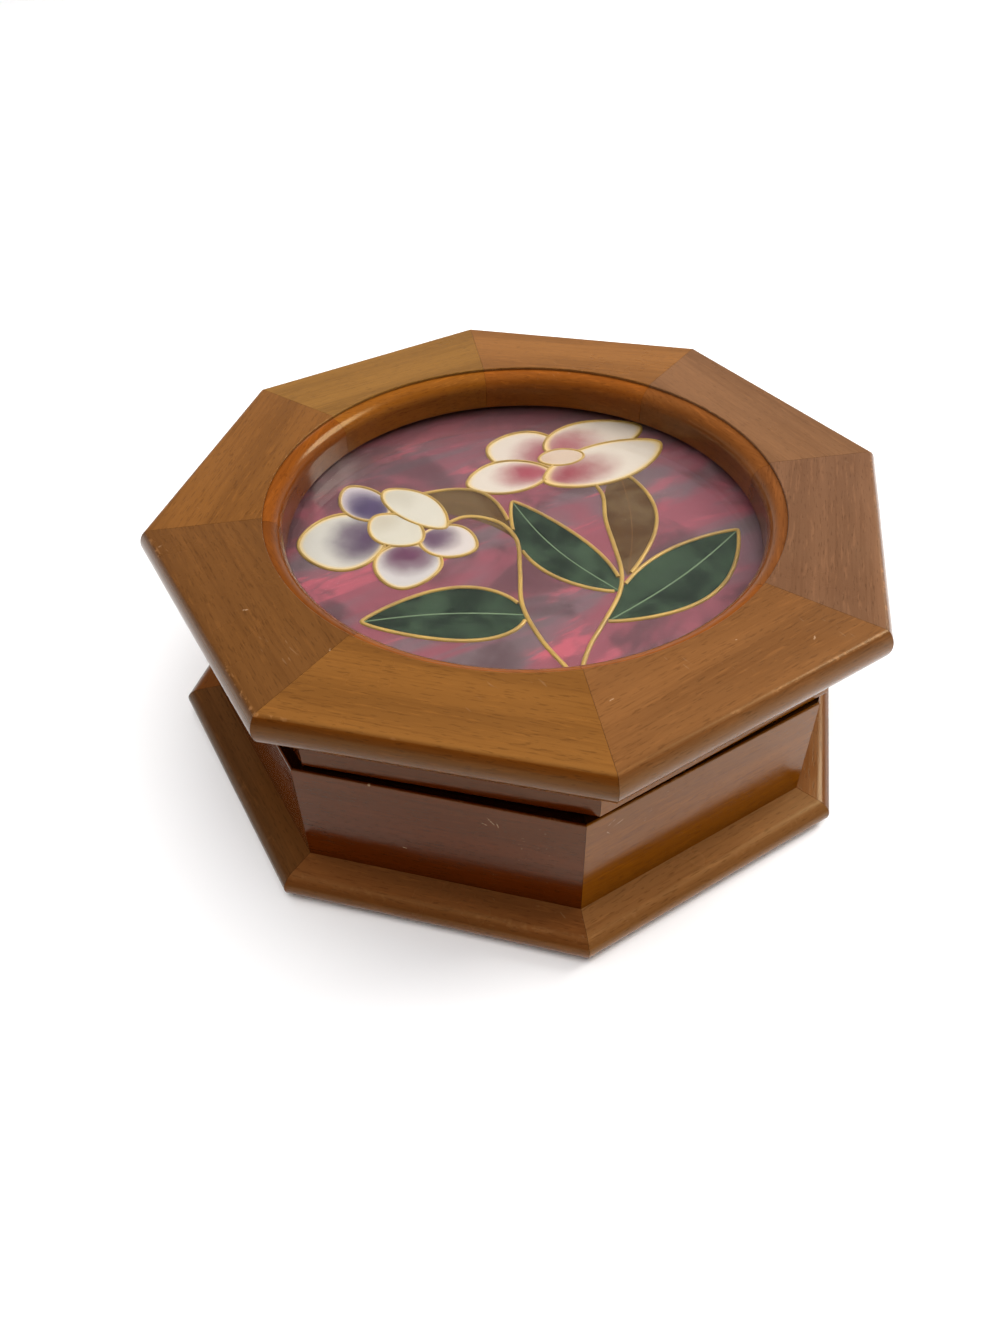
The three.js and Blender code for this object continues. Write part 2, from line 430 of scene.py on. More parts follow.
woodLook = {
    "figure": 0.38,
    "pores": 0.38,
    "bump": 0.35,
    "bumpDistance": 0.08 * mm,
    "rub": 0.35,
    "scratches": 0.07,
    "nicks": 0.4,
    "roughness": (0.26, 0.38),
    "glossGain": 0.17,  # taken off the roughness where the lacquer is at its glossiest
    "dulling": 0.2,  # added to it on rubbed and scratched wood
    "specular": 0.3,
    "specularTint": (1.0, 0.74, 0.3),
    "coat": 0.03,
    "coatRoughness": 0.1,
    "rubbedTo": srgb(186, 132, 84),
    "scratchedTo": srgb(205, 170, 135),
}
lacqueredWood = makeLacqueredWood("lacqueredWood", woodLook)

# Base mouldings

baseMoulding = {
    "breakIn": 1.5 * mm,
    "edgeHeight": 6.3 * mm,
    "footBevel": 0.6 * mm,
    "rabbetOut": 5.0 * mm,
    "rabbetGap": 0.3 * mm,
    "gloss": 0.6,
    "ease": 1.4 * mm,
    "footEase": 0.4 * mm,
    # Painted shade below the nose's upper edge.
    "nosePaintedShade": (0.68, 0.6, 0.45),
    "nosePaintedShadeAt": 5.0 * mm,
    "nosePaintedShadeReach": 1.6 * mm,
    # Painted reflection of the floor along the nose's foot, and its share on each side.
    "footPaintedReflection": (1.5, 1.9, 2.8),
    "footReflectionAt": 1.3 * mm,
    "footReflectionReach": 1.1 * mm,
    "footReflectionShare": [1.0, 0.15, 0.3, 0.3, 0.3, 0.3, 0.4, 0.8],
    "stations": 9,
    "seed": 11,
    "runout": [0.01, -0.015, 0.012, 0.0, -0.01, 0.014, 0.02, -0.012],
    "stains": [srgb(112, 67, 32), srgb(130, 87, 48), srgb(112, 64, 24), srgb(108, 60, 20), srgb(106, 58, 18),
               srgb(108, 60, 20), srgb(102, 55, 17), srgb(89, 53, 23)],
}


# Painted shade darkens the nose below its upper edge, and a painted reflection of the floor lightens it along
# its foot. Each share falls off in a straight line on both sides of its height.
def shadeBase(index, out, up):
    b = baseMoulding
    onNose = out > plan["baseNose"] - b["breakIn"] - 1e-6
    dark = np.clip(1 - np.abs(up - b["nosePaintedShadeAt"]) / b["nosePaintedShadeReach"], 0, 1) * onNose
    pale = np.clip(1 - np.abs(up - b["footReflectionAt"]) / b["footReflectionReach"], 0, 1) * onNose
    pale = pale * b["footReflectionShare"][index]
    shaded = 1 + (np.array(b["nosePaintedShade"]) - 1) * dark[..., None]
    return shaded * (1 + (np.array(b["footPaintedReflection"]) - 1) * pale[..., None])


def makeBaseMoulding(index):
    b = baseMoulding
    breakAt = plan["baseNose"] - b["breakIn"]
    wallInner = -wallHigh[1]
    rabbetTop = boardHigh[2] + b["rabbetGap"]
    corners = [
        (plan["wallFace"], plan["baseTop"], 0, 0, 0),
        (breakAt, b["edgeHeight"], b["ease"], 0, 0.25),
        *noseCorners(breakAt, b["edgeHeight"], b["footBevel"], b["breakIn"], b["ease"], b["footEase"]),
        (breakAt, b["footBevel"], b["footEase"], 0, 0.4),
        (breakAt - b["footBevel"], 0, 0, 0, 0),
        (wallInner + b["rabbetOut"], 0, 0, 0, 0),
        (wallInner + b["rabbetOut"], rabbetTop, 0, 0, 0),
        (wallInner, rabbetTop, 0, 0, 0),
        (wallInner, plan["baseTop"], 0, 0, 0),
    ]
    piece = mitredStick(f"baseMoulding{index + 1}", easedSection(corners), index, b,
                        lambda out, up, bend: shadeBase(index, out, up),
                        lambda out, up, bend: b["gloss"])
    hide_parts(f"base_moulding_{index + 1}")


# Walls

wall = {
    "rimWidth": 2.5 * mm,
    "rimRise": 3.0 * mm,
    "rimPaintedShade": 0.12,  # painted shade: the rim under the lid is darkened nearly to black
    "gloss": 1.0,
    "ease": 0.45 * mm,
    "stations": 9,
    "seed": 31,
    "runout": [0.01, 0.02, -0.01, 0.015, -0.02, 0.01, -0.015, 0.0],
    # These stains also paint in part of each side's shade and light: the first wall's is darker, the second's
    # lighter.
    "stains": [srgb(80, 29, 1), srgb(121, 66, 1), srgb(104, 50, 12), srgb(100, 46, 11), srgb(96, 43, 10),
               srgb(98, 45, 10), srgb(92, 39, 8), srgb(82, 32, 5)],
}


def makeWall(index):
    w = wall
    face, inner = plan["wallFace"], -wallHigh[1]
    seat = plan["rimTop"] - w["rimRise"]
    rimOuter = inner + w["rimWidth"]
    corners = [
        (face, seat, w["ease"], 0, 0.8),
        (face, plan["baseTop"], 0, 0, 0),
        (inner, plan["baseTop"], 0, 0, 0),
        (inner, plan["rimTop"], w["ease"], 0, 0.3),
        (rimOuter, plan["rimTop"], w["ease"], 0, 0.3),
        (rimOuter, seat, 0, 0, 0),
    ]
    # Painted shade: the raised rim under the lid is darkened nearly to black.
    piece = mitredStick(f"wall{index + 1}", easedSection(corners), index, w,
                        lambda out, up, bend: np.where(up > seat - 1e-6, w["rimPaintedShade"], 1.0)[..., None],
                        lambda out, up, bend: w["gloss"])
    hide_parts(f"wall_{index + 1}")


# Lid rails

lidRail = {
    "lidNose": 79.99 * mm,
    "breakIn": 1.59 * mm,
    "noseHeight": 7.5 * mm,
    "lipThickness": 2.73 * mm,
    "webHeight": 16.1 * mm,  # of the web's underside below the top
    "glassPlay": 0.3 * mm,
    "windowRadius": 59.4 * mm,
    "quirk": 0.8 * mm,
    "bead": 4.0 * mm,
    "beadSteps": 12,
    "topRows": 7,
    "ease": 0.55 * mm,
    "noseEase": 0.8 * mm,
    "lipEase": 0.4 * mm,
    "beadPaintedLight": ((1.25, 0.88, 0.42), (0.72, 0.44, 0.22)),  # painted highlight at its crown and painted shade at the glass
    # Painted shade below the nose's upper edge, and its share on each side.
    "nosePaintedShade": (0.6, 0.42, 0.2),
    "noseShadeShare": [1, 0.3, 0.5, 0.7, 0.8, 0.8, 0.7, 0.6],
    "shadeFrom": 0.06,  # shares of the nose's height, from its top: full shade begins
    "shadeTo": 0.45,  # full shade ends
    "shadeEnd": 1.15,  # no shade any more
    "beadGloss": 0.8,
    "noseGloss": 0.85,
    "glossFrom": 0.3 * mm,  # the flat top and its edges down to this depth are satin
    "quirkEase": 0.25 * mm,
    "stations": 41,
    "seed": 53,
    "runout": [0.03, -0.04, 0.02, 0.05, -0.02, 0.03, -0.05, 0.02],
    "stains": [srgb(115, 73, 30), srgb(115, 74, 39), srgb(110, 76, 53), srgb(116, 80, 52), srgb(127, 83, 41),
               srgb(124, 86, 38), srgb(113, 71, 30), srgb(99, 62, 28)],
}


# The lip and the nose's underside are stained as the wall below them, whose stains carry painted shade too.
# The bead has a painted highlight at its crown and painted shade towards the glass, and painted shade darkens
# the nose below its upper edge, more on some sides than others.
def shadeRail(index, up, bend, noseBottom, beadTop):
    r = lidRail
    crown, deep = (np.array(tone) for tone in r["beadPaintedLight"])
    depth = np.clip((beadTop - up) / r["bead"], 0, 1)[..., None]
    onBead = ((bend == 1) & (up < beadTop + 1e-5))[..., None]
    bead = np.where(onBead, crown + (deep - crown) * depth, 1.0)
    drop = np.clip((plan["lidTop"] - up) / (plan["lidTop"] - noseBottom), 0, 1)
    paintedShade = np.clip(drop / r["shadeFrom"], 0, 1) * (bend == 0) * r["noseShadeShare"][index]
    paintedShade = paintedShade * np.clip((r["shadeEnd"] - drop) / (r["shadeEnd"] - r["shadeTo"]), 0, 1)
    nose = 1 + (np.array(r["nosePaintedShade"]) - 1) * paintedShade[..., None]
    lip = np.array(wall["stains"][index]) / np.array(r["stains"][index])
    onLip = ((bend == 0) & (up < noseBottom + 1e-6))[..., None]
    return np.where(onLip, lip, bead * nose)


def glossRail(up, bend):
    below = up < plan["lidTop"] - lidRail["glossFrom"]
    return np.where(below, np.where(bend == 1, lidRail["beadGloss"], lidRail["noseGloss"]), 0)


def makeLidRail(index):
    r = lidRail
    top, bottom = plan["lidTop"], plan["lidBottom"]
    breakAt = r["lidNose"] - r["breakIn"]
    noseBottom = top - r["noseHeight"]
    lipInner = plan["wallFace"] - r["lipThickness"]
    webBottom = top - r["webHeight"]
    seatRadius = (glassHigh[0] - glassLow[0]) / 2 + r["glassPlay"]
    shoulder = glassHigh[2] + r["glassPlay"]
    inner = r["windowRadius"] - r["bead"]
    beadTop = top - r["quirk"]
    # The bead is a quarter circle about a point below the quirk.
    angles = np.linspace(pi / 2, 0, r["beadSteps"] + 1)
    beadOut = r["windowRadius"] - r["bead"] * np.sin(angles)
    beadUp = beadTop - r["bead"] * (1 - np.cos(angles))
    bead = [(out, up, 0, 1, 0) for out, up in zip(beadOut, beadUp)]
    # The flat top spreads from the round window to the straight nose.
    spread = np.linspace(0, 1, r["topRows"] + 2)[1:-1]
    flatTop = [(r["windowRadius"] + (breakAt - r["windowRadius"]) * s, top, 0, 1 - s, 0) for s in spread]
    corners = [
        (breakAt, top, r["ease"], 0, 1),
        *noseCorners(breakAt, top, noseBottom, r["breakIn"], r["ease"], r["noseEase"]),
        (breakAt, noseBottom, r["noseEase"], 0, 0.7),
        (plan["wallFace"], noseBottom, 0, 0, 0),
        (plan["wallFace"], bottom, r["lipEase"], 0, 0.6),
        (lipInner, bottom, 0, 0, 0),
        (lipInner, webBottom, 0, 0, 0),
        (seatRadius, webBottom, 0, 1, 0),
        (seatRadius, shoulder, 0, 1, 0),
        (inner, shoulder, 0, 1, 0),
        *bead,
        (r["windowRadius"], top, r["quirkEase"], 1, 0.5),
        *flatTop,
    ]
    piece = mitredStick(f"lidRail{index + 1}", easedSection(corners), index, r,
                        lambda out, up, bend: shadeRail(index, up, bend, noseBottom, beadTop),
                        lambda out, up, bend: glossRail(up, bend), plan["lidTurn"], plan["lidCentre"])
    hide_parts(f"lid_rail_{index + 1}")


for side in range(8):
    makeBaseMoulding(side)
    makeWall(side)
    makeLidRail(side)

# Bottom board

board = {
    "ease": 0.3 * mm,
    "perSide": 6,
    "stain": srgb(122, 84, 50),
    "grainShift": (1.3, 0.4, 0.2),
    "figure": 0.8,
    "pores": 0.6,
    "smearScale": (60, 60, 60),
    "roughness": (0.55, 0.7),
    "bump": 0.5,
    "bumpDistance": 0.1 * mm,
}


def makePlainWood():
    material, tree = blankMaterial("plainWood")
    place = objectPlace(tree)
    shifted = addNode(tree, "ShaderNodeMapping", {"Vector": place, "Location": board["grainShift"]})
    grained = addNode(tree, "ShaderNodeGroup", {
        "Stick": shifted.outputs[0], "Stain": (*board["stain"], 1), "Figure": board["figure"],
        "Pores": board["pores"]}, node_tree=grainGroup).outputs
    smear = stretchedNoise(tree, place, board["smearScale"], 4.0, 0.6)
    finish(tree, {
        "Base Color": grained["Color"], "Roughness": smoothMask(tree, smear, 0.3, 0.7, *board["roughness"]),
        "Normal": bumpFrom(tree, grained["Height"], board["bump"], board["bumpDistance"])})
    return material


# The levels of a slab with eased edges, as (reach, height), from its underside to its top.
def slabLevels(reach, low, high, ease):
    return [(reach / 2, low), (reach - ease, low), (reach, low + ease), (reach, high - ease),
            (reach - ease, high), (reach / 2, high)]


# An octagonal slab: each ring is the octagon scaled to its distance from the centre.
def makeBottomBoard():
    low, high = boardLow[2], boardHigh[2]
    corners = np.arange(8) * 2 * halfSide + halfSide
    corner = np.stack([np.cos(corners), np.sin(corners)], -1) / cos(halfSide)
    steps = (np.arange(board["perSide"]) / board["perSide"])[:, None]
    edge = (corner[:, None] * (1 - steps) + np.roll(corner, -1, 0)[:, None] * steps).reshape(-1, 2)
    levels = slabLevels((boardHigh[0] - boardLow[0]) / 2, low, high, board["ease"])
    rings = np.stack([np.concatenate([edge * reach, np.full((len(edge), 1), height)], -1)
                      for reach, height in levels])
    points, faces = ringShell(rings, (0, 0, low), (0, 0, high))
    piece = newPiece("bottomBoard", points, faces, makePlainWood())
    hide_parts("bottom_board")


makeBottomBoard()

print("stage 3: glass and picture")


# A turned disc with eased edges: each ring is (radius cos a, radius sin a, height) about the lid's centre.
def turnedDisc(name, low, high, ease, material, around=144):
    a = np.linspace(0, 2 * pi, around, endpoint=False)
    cx, cy = plan["lidCentre"]
    rings = np.stack([np.stack([reach * np.cos(a) + cx, reach * np.sin(a) + cy, np.full(around, height)], -1)
                      for reach, height in slabLevels((high[0] - low[0]) / 2, low[2], high[2], ease)])
    points, faces = ringShell(rings, (cx, cy, low[2]), (cx, cy, high[2]))
    return newPiece(name, points, faces, material, 20)


glass = {"ease": 0.4 * mm, "tint": (0.985, 0.99, 0.985, 1), "roughness": 0.02, "ior": 1.5, "specular": 0.3}


def makeGlass():
    material, tree = blankMaterial("clearGlass")
    finish(tree, {
        "Base Color": glass["tint"], "Roughness": glass["roughness"], "IOR": glass["ior"],
        "Transmission Weight": 1.0, "Specular IOR Level": glass["specular"]})
    piece = turnedDisc("lidGlass", glassLow, glassHigh, glass["ease"], material)
    piece.visible_shadow = False  # the pane lets the room's light down to the picture
    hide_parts("lid_glass")


# The painted ground: rose, mauve and grey streaks that run across the panel on a slant.
picture = {
    "panelEase": 0.3 * mm,
    "streakTurn": radians(-43),
    "wideScale": (14, 60, 1),
    "fineScale": (40, 150, 1),
    "cloudScale": (45, 45, 1),
    "mauve": srgb(84, 65, 69),
    "rose": srgb(102, 53, 61),
    "pink": srgb(136, 62, 72),
    "grey": srgb(78, 63, 65),
    "plum": srgb(60, 40, 43),
    "calmSide": (0.94, 0.1, 0),  # towards this side the pink streaks fade
    "calmFrom": 8 * mm,
    "calmLeft": 0.3,
    "plumShadeSide": (-0.35, 0.94, 0),  # towards this side the ground turns plum, partly its own tone and partly painted shade from the frame
    "plumShadeFrom": 36 * mm,
    "plumShadeRagged": 20 * mm,
    "turnOver": 30 * mm,  # the length of either change
    "groundRoughness": (0.36, 0.5),
    "groundBump": 0.2,
    "groundBumpDistance": 0.2 * mm,
    "filmLift": 0.03 * mm,
    "filmStep": 0.03 * mm,
    "filmRings": 14,
    "filmInnermost": 0.06,
}


def makeGround():
    p = picture
    material, tree = blankMaterial("marbledGround")
    place = objectPlace(tree)
    slanted = turnedPlace(tree, place, (0, 0, p["streakTurn"]))
    wide = stretchedNoise(tree, slanted, p["wideScale"], 3.0, 0.55, 0.8)
    fine = stretchedNoise(tree, slanted, p["fineScale"], 4.0, 0.6, 0.5)
    cloud = stretchedNoise(tree, place, p["cloudScale"], 3.0, 0.6, 0.6)
    side = distanceAlong(tree, place, p["calmSide"])
    calm = smoothMask(tree, side, p["calmFrom"], p["calmFrom"] + p["turnOver"], 1.0, p["calmLeft"])
    pink = calc(tree, "MULTIPLY", smoothMask(tree, fine, 0.52, 0.66), calm)
    farShade = calc(tree, "ADD", distanceAlong(tree, place, p["plumShadeSide"]),
               calc(tree, "MULTIPLY", cloud, p["plumShadeRagged"]))
    farShade = smoothMask(tree, farShade, p["plumShadeFrom"], p["plumShadeFrom"] + p["turnOver"], 0.0, 0.85)
    plum = calc(tree, "MAXIMUM", smoothMask(tree, cloud, 0.47, 0.61, 0.0, 0.75), farShade)
    colour = blend(tree, smoothMask(tree, wide, 0.40, 0.54), p["mauve"], p["rose"])
    colour = blend(tree, pink, colour, p["pink"])
    colour = blend(tree, smoothMask(tree, wide, 0.44, 0.34), colour, p["grey"])
    colour = blend(tree, plum, colour, p["plum"])
    finish(tree, {
        "Base Color": colour, "Roughness": smoothMask(tree, fine, 0.3, 0.7, *p["groundRoughness"]),
        "Normal": bumpFrom(tree, cloud, p["groundBump"], p["groundBumpDistance"]), "Specular IOR Level": 0.2})
    return material


def makePanel():
    piece = turnedDisc("picturePanel", panelLow, panelHigh, picture["panelEase"], makeGround())
    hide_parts("picture_panel")


# Turns picture coordinates (millimetres about the lid's centre) into the frame, at a height over the panel.
def onPanel(flat, lift):
    flat = turnFlat(np.asarray(flat, float) * mm, plan["lidTurn"], plan["lidCentre"])
    heights = np.broadcast_to(panelHigh[2] + np.asarray(lift), flat.shape[:-1])
    return np.concatenate([flat, heights[..., None]], -1)


# A leaf's outline about its midrib: half width = width / 2 (sin(pi t^lead))^full, and the rib is bowed by
# bow sin(pi t).
def leafOutline(leaf, count=70):
    base, tip = np.array(leaf["base"], float), np.array(leaf["tip"], float)
    along = tip - base
    length = np.linalg.norm(along)
    along /= length
    side = np.array([-along[1], along[0]])
    t = (1 - np.cos(np.linspace(0, pi, count))) / 2
    half = leaf["width"] / 2 * np.sin(pi * t ** leaf["lead"]) ** leaf["full"]
    rib = base + along * (t * length)[:, None] + side * (leaf["bow"] * np.sin(pi * t))[:, None]
    right, left = rib - side * half[:, None], rib + side * half[:, None]
    return np.concatenate([right, left[-2:0:-1]]), rib


# Places points in a leaf's own terms: the share along its midrib and the distance off it over its half width.
def leafTerms(leaf, flat):
    base, tip = np.array(leaf["base"]), np.array(leaf["tip"])
    length = np.linalg.norm(tip - base)
    along = (tip - base) / length
    side = np.array([-along[1], along[0]])
    t = np.clip((flat - base) @ along / length, 0, 1)
    off = ((flat - base) @ side - leaf["bow"] * np.sin(pi * t)) / (leaf["width"] / 2)
    return t, off


# A painted field: its outline shrunk towards a heart point in rings, as thin as a coat of paint. It stores
# the share along the midrib, the share out to the rim, and the distance off the midrib or a petal's reach.
def paintedField(name, shape, layer, material):
    outline, rib = leafOutline(shape)
    heart = rib[len(rib) // 2]
    shares = np.linspace(1, picture["filmInnermost"], picture["filmRings"])
    top = picture["filmLift"] + picture["filmStep"] * layer
    flat = heart + (outline - heart) * shares[:, None, None]
    rings = np.concatenate([onPanel(outline, 0.0)[None], onPanel(flat, top)])
    points, faces = ringShell(rings, onPanel(heart, 0.0), onPanel(heart, top))
    piece = newPiece(name, points, faces, material, 60)

    def fieldAt(places, rim):
        along, off = leafTerms(shape, places)
        third = np.full_like(along, shape["reach"]) if "reach" in shape else off
        return np.stack([along, rim, third], -1).reshape(-1, 3)

    rim = np.concatenate([[1.0], shares])[:, None] * np.ones(len(outline))
    middle = fieldAt(heart[None, None], np.zeros((1, 1)))
    values = [fieldAt(np.concatenate([outline[None], flat]), rim), middle, middle]
    storePoint(piece, "field", "FLOAT_VECTOR", np.concatenate(values))
    return piece, evenSteps(outline, True)


# A raised line: a half ellipse carried along the path, its open ends closed flat.
def raisedLine(path, width, height, closed):
    step = (np.roll(path, -1, 0) - np.roll(path, 1, 0)) if closed else np.gradient(path, axis=0)
    step /= np.linalg.norm(step, axis=1, keepdims=True)
    side = np.stack([step[:, 1], -step[:, 0]], -1)
    a = np.linspace(0, pi, wire["facets"] + 1)
    flat = path[:, None] + side[:, None] * (np.cos(a) * width / mm / 2)[None, :, None]
    points = onPanel(flat, (np.sin(a) * height)[None])
    count, around = points.shape[:2]
    faces = gridFaces(count, around, wrapRows=closed, wrapColumns=True).tolist()
    if not closed:
        end = (count - 1) * around
        faces += [list(range(around)), list(range(end, end + around))[::-1]]
    return points.reshape(-1, 3), faces


# A smooth curve through a few points (Catmull-Rom).
def smoothCurve(knots, each=14):
    knots = np.asarray(knots, float)
    padded = np.concatenate([2 * knots[:1] - knots[1:2], knots, 2 * knots[-1:] - knots[-2:-1]])
    t = np.linspace(0, 1, each, endpoint=False)[:, None, None]
    a, b, c, d = (padded[k:len(padded) - 3 + k][None] for k in range(4))
    square = (2 * a - 5 * b + 4 * c - d) * t ** 2
    cube = (3 * b - a - 3 * c + d) * t ** 3
    curve = 0.5 * (2 * b + (c - a) * t + square + cube)
    return np.concatenate([curve.transpose(1, 0, 2).reshape(-1, 2), knots[-1:]])


# A row holds the values of shapeParts, and a leaf's row stops at its bow. Each petal is a leaf shape with
# round ends, whose colour runs from deep at the base to pale at the rim.
shapeParts = ("base", "tip", "width", "lead", "full", "bow", "deep", "pale", "reach")
petalSets = {
    "violet": [
        ((-31.5, -8.0), (-50.6, -16.6), 22.0, 0.95, 0.55, 0.5, srgb(57, 38, 58), srgb(146, 142, 134), 0.62),
        ((-34.0, -2.5), (-47.4, 8.8), 11.0, 0.95, 0.55, 0.4, srgb(54, 42, 66), srgb(140, 131, 134), 0.95),
        ((-26.0, -10.5), (-21.8, -26.4), 15.6, 0.85, 0.55, 0.8, srgb(71, 37, 56), srgb(146, 141, 138), 0.66),
        ((-23.5, -6.6), (-9.4, -9.0), 12.4, 0.95, 0.55, 0.4, srgb(65, 41, 60), srgb(154, 145, 140), 0.62),
        ((-36.8, -2.0), (-22.8, -9.4), 11.6, 1.0, 0.55, -0.4, srgb(140, 132, 117), srgb(152, 146, 133), 0.4),
        ((-37.6, 9.2), (-18.4, -2.8), 10.6, 0.9, 0.6, 0.8, srgb(141, 135, 122), srgb(154, 148, 136), 0.4),
    ],
    "rose": [
        ((4.6, 33.2), (-17.0, 34.2), 19.6, 1.05, 0.55, -0.6, srgb(106, 40, 53), srgb(158, 147, 136), 0.6),
        ((1.5, 27.0), (-17.8, 15.6), 14.4, 1.05, 0.55, -0.6, srgb(111, 38, 51), srgb(159, 149, 138), 0.6),
        ((-1.6, 35.6), (21.6, 52.8), 16.6, 0.85, 0.6, 0.6, srgb(113, 59, 64), srgb(161, 150, 138), 0.5),
        ((1.2, 21.0), (27.6, 45.8), 17.0, 0.95, 0.6, -0.4, srgb(106, 38, 48), srgb(159, 149, 137), 0.5),
        ((-2.4, 30.8), (8.6, 35.8), 7.6, 1.0, 0.5, 0.0, srgb(146, 124, 108), srgb(152, 134, 118), 0.3),
    ],
}
leafSets = {
    "olive": [
        ((-0.6, -4.2), (-31.0, 7.6), 11.6, 1.5, 0.8, -6.2),
        ((26.4, -11.5), (18.8, 29.6), 12.4, 1.3, 0.65, -2.0),
    ],
    "green": [
        ((6.7, -29.2), (-27.4, -38.7), 17.4, 0.7, 0.78, -1.5),
        ((25.3, -17.2), (-5.2, 11.2), 14.6, 0.85, 0.8, 2.5),
        ((24.2, -27.6), (49.6, 10.7), 17.2, 0.98, 0.85, -1.6),
    ],
}
leafTones = {
    "olive": {"deep": srgb(58, 36, 10), "pale": srgb(74, 56, 32), "rib": srgb(86, 58, 30), "ribShare": 0.02},
    "green": {"deep": srgb(15, 25, 14), "pale": srgb(35, 49, 33), "rib": srgb(84, 98, 74), "ribShare": 0.028},
}
stems = [
    [(-19.0, -1.2), (-15.5, 2.4), (-11.3, 3.2), (-5.6, 1.6), (-0.6, -4.3), (2.3, -14.8), (5.3, -26.3),
     (11.4, -36.1), (18.6, -43.9), (25.0, -51.5)],
    [(13.5, 23.0), (16.4, 18.0), (18.5, 8.2), (22.0, -1.7), (24.8, -10.4), (25.3, -18.5), (23.1, -29.3),
     (21.6, -36.1), (21.2, -43.4), (22.5, -53.0)],
]
wire = {
    "width": 0.95 * mm,
    "height": 0.45 * mm,
    "facets": 8,
    "leafShare": 1.0,  # of the width
    "stemShare": 1.1,
    "petalShare": 0.8,
    "step": 0.6,  # along a line, in millimetres as the two below
    "oliveClear": 2.0,  # leaf outlines stop this near a stem
    "greenClear": 0.7,
    "fewest": 7,  # a run with fewer points isn't drawn
    "coverShare": 0.97,  # a later shape covers this much of its reach
    "gold": srgb(146, 116, 50),
    "wornGold": srgb(122, 95, 40),
    "gritScale": (900, 900, 900),
    "wornScale": (110, 110, 110),
    "metallic": 0.2,
    "roughness": (0.35, 0.5),
    "bump": 0.3,
    "bumpDistance": 0.06 * mm,
}
petalPaint = {
    "cloudScale": (260, 260, 1),
    "wobble": 0.3,
    "rimGain": 0.9,
    "rimTone": srgb(170, 146, 98),
    "roughness": (0.34, 0.46),
    "specular": 0.2,
}
leafPaint = {"cloudScale": (90, 90, 1), "roughness": (0.36, 0.48), "specular": 0.15}


def fieldParts(tree):
    return addNode(tree, "ShaderNodeSeparateXYZ", {"Vector": stored(tree, "field", "Vector")}).outputs


# The deep colour gives way to the pale one as along / reach + rimGain rim^3 grows, give or take a wobble.
def makePetalPaint():
    p = petalPaint
    material, tree = blankMaterial("petalPaint")
    along, rim, reach = fieldParts(tree)
    cloud = stretchedNoise(tree, objectPlace(tree), p["cloudScale"], 3.0, 0.6, 0.4)
    wobble = calc(tree, "MULTIPLY", calc(tree, "SUBTRACT", cloud, 0.5), p["wobble"])
    outer = calc(tree, "MULTIPLY", calc(tree, "POWER", rim, 3.0), p["rimGain"])
    spent = calc(tree, "ADD", calc(tree, "ADD", calc(tree, "DIVIDE", along, reach), wobble), outer)
    colour = blend(tree, smoothMask(tree, spent, 0.45, 1.45), stored(tree, "deep", "Color"),
                   stored(tree, "pale", "Color"))
    colour = blend(tree, smoothMask(tree, rim, 0.84, 0.98), colour, p["rimTone"])
    finish(tree, {
        "Base Color": colour, "Roughness": smoothMask(tree, cloud, 0.3, 0.7, *p["roughness"]),
        "Specular IOR Level": p["specular"]})
    return material


def makeLeafPaint(name, tones):
    material, tree = blankMaterial(name)
    _, _, off = fieldParts(tree)
    cloud = stretchedNoise(tree, objectPlace(tree), leafPaint["cloudScale"], 4.0, 0.6, 0.6)
    share = tones["ribShare"]
    onRib = smoothMask(tree, calc(tree, "ABSOLUTE", off), share, share * 0.4)
    colour = blend(tree, smoothMask(tree, cloud, 0.38, 0.66), tones["deep"], tones["pale"])
    colour = blend(tree, onRib, colour, tones["rib"])
    finish(tree, {
        "Base Color": colour, "Roughness": smoothMask(tree, cloud, 0.3, 0.7, *leafPaint["roughness"]),
        "Specular IOR Level": leafPaint["specular"]})
    return material


def makeGold():
    material, tree = blankMaterial("goldLine")
    place = objectPlace(tree)
    grit = stretchedNoise(tree, place, wire["gritScale"], 2.0, 0.5)
    worn = stretchedNoise(tree, place, wire["wornScale"], 3.0, 0.6)
    finish(tree, {
        "Base Color": blend(tree, smoothMask(tree, worn, 0.35, 0.7), wire["gold"], wire["wornGold"]),
        "Metallic": wire["metallic"], "Roughness": smoothMask(tree, grit, 0.3, 0.7, *wire["roughness"]),
        "Normal": bumpFrom(tree, grit, wire["bump"], wire["bumpDistance"])})
    return material


def joinShells(shells):
    points, faces, start = [], [], 0
    for shellPoints, shellFaces in shells:
        points.append(shellPoints)
        faces += [[start + k for k in face] for face in shellFaces]
        start += len(shellPoints)
    return np.concatenate(points), faces


# Which points lie inside a closed outline, by counting how often a ray to the right crosses it.
def insideOf(outline, points):
    x, y = points[:, None, 0], points[:, None, 1]
    x1, y1 = outline[None, :, 0], outline[None, :, 1]
    x2, y2 = np.roll(outline[:, 0], -1)[None], np.roll(outline[:, 1], -1)[None]
    crosses = (y1 > y) != (y2 > y)
    reach = x1 + (y - y1) * (x2 - x1) / np.where(y2 == y1, 1e-9, y2 - y1)
    return (crosses & (x < reach)).sum(1) % 2 == 1


# A line is drawn only where no later shape lies over it and nothing else hides it, in open runs.
def visibleRuns(path, closed, covers, hidden):
    for cover in covers:
        middle = cover.mean(0)
        hidden |= insideOf(middle + (cover - middle) * wire["coverShare"], path)
    if not hidden.any():
        return [(path, closed)]
    if closed:
        start = int(np.argmax(hidden))
        path, hidden = np.roll(path, -start, 0), np.roll(hidden, -start)
    edges = np.flatnonzero(np.diff(np.concatenate([[1], hidden, [1]]).astype(int)))
    return [(path[a:b], False) for a, b in zip(edges[::2], edges[1::2]) if b - a >= wire["fewest"]]


